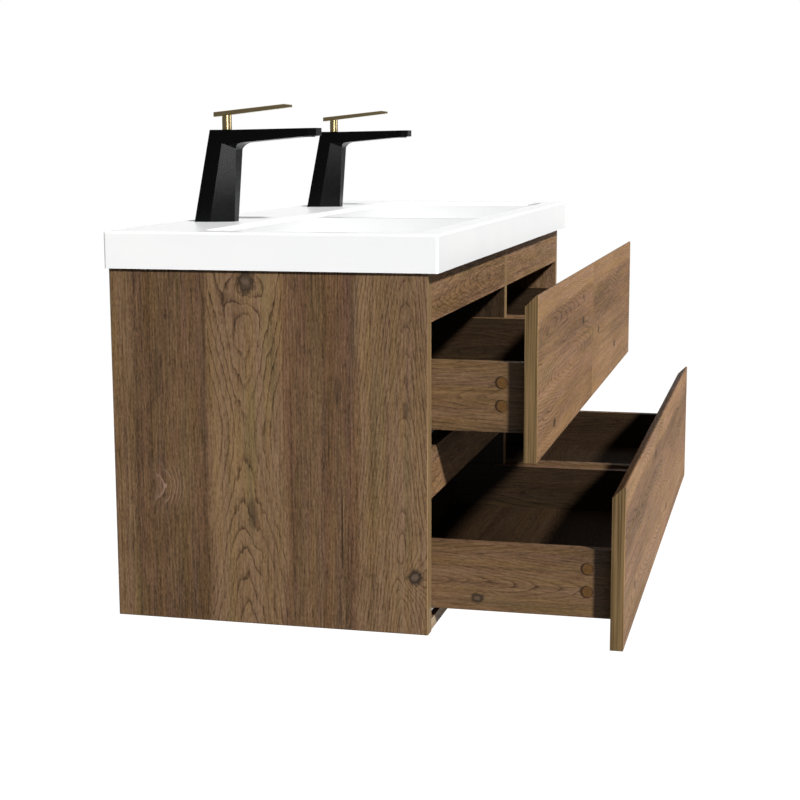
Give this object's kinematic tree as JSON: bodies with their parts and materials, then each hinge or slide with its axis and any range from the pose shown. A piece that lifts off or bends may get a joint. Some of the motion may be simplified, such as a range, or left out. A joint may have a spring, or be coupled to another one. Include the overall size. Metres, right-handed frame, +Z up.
{
  "type": "bathroom vanity cabinet",
  "caption": "Wall-hung oak-finish vanity cabinet with handleless drawers on concealed runners under a white washbasin top with side-by-side bowls and black lever mixer taps.",
  "frame": {"origin": "centre of the four wall bolts, in the plane of the wall", "axes": "+X to the right when facing the cabinet, +Y into the wall, +Z up; the drawers open towards -Y"},
  "size_m": [1.208, 0.765, 0.7382],
  "materials": {
    "oak_side": "oak decor with upright grain, matt",
    "oak_rail": "oak decor, matt",
    "oak_front": "oak decor with level grain, matt",
    "oak_drawer": "oak decor with level grain, matt",
    "white_glaze": "satin white glaze",
    "black_metal": "matt black",
    "brushed_gold": "brushed antique gold",
    "chrome": "polished",
    "zinc_steel": "zinc plated",
    "white_plastic": "moulded",
    "dark_plastic": "moulded",
    "tan_plastic": "moulded caps",
    "brass_fittings": "machined"
  },
  "bodies": {
    "cabinet": {"left_side_panel": "oak_side", "right_side_panel": "oak_side", "centre_divider": "oak_rail", "bottom_panel": "oak_rail", "left_top_rail": "oak_rail", "right_top_rail": "oak_rail", "left_middle_rail": "oak_rail", "right_middle_rail": "oak_rail", "back_rails": "oak_rail", "cabinet_hangers": "zinc_steel", "wall_plates": "zinc_steel", "cabinet_rails": "zinc_steel", "runner_screws": "zinc_steel", "washbasin": "white_glaze", "left_tap_body": "black_metal", "right_tap_body": "black_metal", "tap_cartridges": "white_plastic", "tap_aerators": "dark_plastic", "tap_fixings": "brass_fittings", "waste_bodies": "chrome", "trap_pipes": "white_plastic", "trap_bodies": "white_plastic"},
    "upper_left_drawer": {"upper_left_drawer_front": "oak_front", "upper_left_drawer_left_side": "oak_drawer", "upper_left_drawer_right_side": "oak_drawer", "upper_left_drawer_back": "oak_drawer", "upper_left_drawer_bottom": "oak_drawer", "upper_left_drawer_cam_fittings": "tan_plastic", "upper_left_drawer_rails": "zinc_steel"},
    "upper_left_intermediate": {"upper_left_intermediate_rails": "zinc_steel"},
    "upper_right_drawer": {"upper_right_drawer_front": "oak_front", "upper_right_drawer_left_side": "oak_drawer", "upper_right_drawer_right_side": "oak_drawer", "upper_right_drawer_back": "oak_drawer", "upper_right_drawer_bottom": "oak_drawer", "upper_right_drawer_cam_fittings": "tan_plastic", "upper_right_drawer_rails": "zinc_steel"},
    "upper_right_intermediate": {"upper_right_intermediate_rails": "zinc_steel"},
    "lower_left_drawer": {"lower_left_drawer_front": "oak_front", "lower_left_drawer_left_side": "oak_drawer", "lower_left_drawer_right_side": "oak_drawer", "lower_left_drawer_back": "oak_drawer", "lower_left_drawer_bottom": "oak_drawer", "lower_left_drawer_cam_fittings": "tan_plastic", "lower_left_drawer_rails": "zinc_steel"},
    "lower_left_intermediate": {"lower_left_intermediate_rails": "zinc_steel"},
    "lower_right_drawer": {"lower_right_drawer_front": "oak_front", "lower_right_drawer_left_side": "oak_drawer", "lower_right_drawer_right_side": "oak_drawer", "lower_right_drawer_back": "oak_drawer", "lower_right_drawer_bottom": "oak_drawer", "lower_right_drawer_cam_fittings": "tan_plastic", "lower_right_drawer_rails": "zinc_steel"},
    "lower_right_intermediate": {"lower_right_intermediate_rails": "zinc_steel"},
    "left_tap_spindle": {"left_tap_spindle": "black_metal"},
    "left_tap_handle": {"left_tap_handle": "brushed_gold"},
    "left_waste_plug": {"left_waste_plug": "chrome"},
    "right_tap_spindle": {"right_tap_spindle": "black_metal"},
    "right_tap_handle": {"right_tap_handle": "brushed_gold"},
    "right_waste_plug": {"right_waste_plug": "chrome"}
  },
  "joints": [
    {"name": "upper_left_drawer_slide", "type": "slide", "parent": "cabinet", "child": "upper_left_drawer", "axis": [0, -1, 0], "range_m": [-0.13, 0.21]},
    {"name": "upper_left_intermediate_slide", "type": "slide", "parent": "cabinet", "child": "upper_left_intermediate", "axis": [0, -1, 0], "range_m": [-0.065, 0.105]},
    {"name": "upper_right_drawer_slide", "type": "slide", "parent": "cabinet", "child": "upper_right_drawer", "axis": [0, -1, 0], "range_m": [-0.13, 0.21]},
    {"name": "upper_right_intermediate_slide", "type": "slide", "parent": "cabinet", "child": "upper_right_intermediate", "axis": [0, -1, 0], "range_m": [-0.065, 0.105]},
    {"name": "lower_left_drawer_slide", "type": "slide", "parent": "cabinet", "child": "lower_left_drawer", "axis": [0, -1, 0], "range_m": [-0.25, 0.09]},
    {"name": "lower_left_intermediate_slide", "type": "slide", "parent": "cabinet", "child": "lower_left_intermediate", "axis": [0, -1, 0], "range_m": [-0.125, 0.045]},
    {"name": "lower_right_drawer_slide", "type": "slide", "parent": "cabinet", "child": "lower_right_drawer", "axis": [0, -1, 0], "range_m": [-0.25, 0.09]},
    {"name": "lower_right_intermediate_slide", "type": "slide", "parent": "cabinet", "child": "lower_right_intermediate", "axis": [0, -1, 0], "range_m": [-0.125, 0.045]},
    {"name": "left_tap_mix", "type": "hinge", "parent": "cabinet", "child": "left_tap_spindle", "pos_m": [-0.3, -0.0772, 0.2466], "axis": [0, 0, 1], "range_deg": [-45, 45]},
    {"name": "left_tap_lift", "type": "hinge", "parent": "left_tap_spindle", "child": "left_tap_handle", "pos_m": [-0.3, -0.0772, 0.2466], "axis": [-1, 0, 0], "range_deg": [0, 20]},
    {"name": "left_plug_slide", "type": "slide", "parent": "cabinet", "child": "left_waste_plug", "axis": [0, 0, 1], "range_m": [0, 0.008]},
    {"name": "right_tap_mix", "type": "hinge", "parent": "cabinet", "child": "right_tap_spindle", "pos_m": [0.3, -0.0772, 0.2466], "axis": [0, 0, 1], "range_deg": [-45, 45]},
    {"name": "right_tap_lift", "type": "hinge", "parent": "right_tap_spindle", "child": "right_tap_handle", "pos_m": [0.3, -0.0772, 0.2466], "axis": [-1, 0, 0], "range_deg": [0, 20]},
    {"name": "right_plug_slide", "type": "slide", "parent": "cabinet", "child": "right_waste_plug", "axis": [0, 0, 1], "range_m": [0, 0.008]}
  ],
  "couplings": [
    {"joint": "upper_left_intermediate_slide", "follows": "upper_left_drawer_slide", "ratio": 0.5},
    {"joint": "upper_right_intermediate_slide", "follows": "upper_right_drawer_slide", "ratio": 0.5},
    {"joint": "lower_left_intermediate_slide", "follows": "lower_left_drawer_slide", "ratio": 0.5},
    {"joint": "lower_right_intermediate_slide", "follows": "lower_right_drawer_slide", "ratio": 0.5}
  ]
}
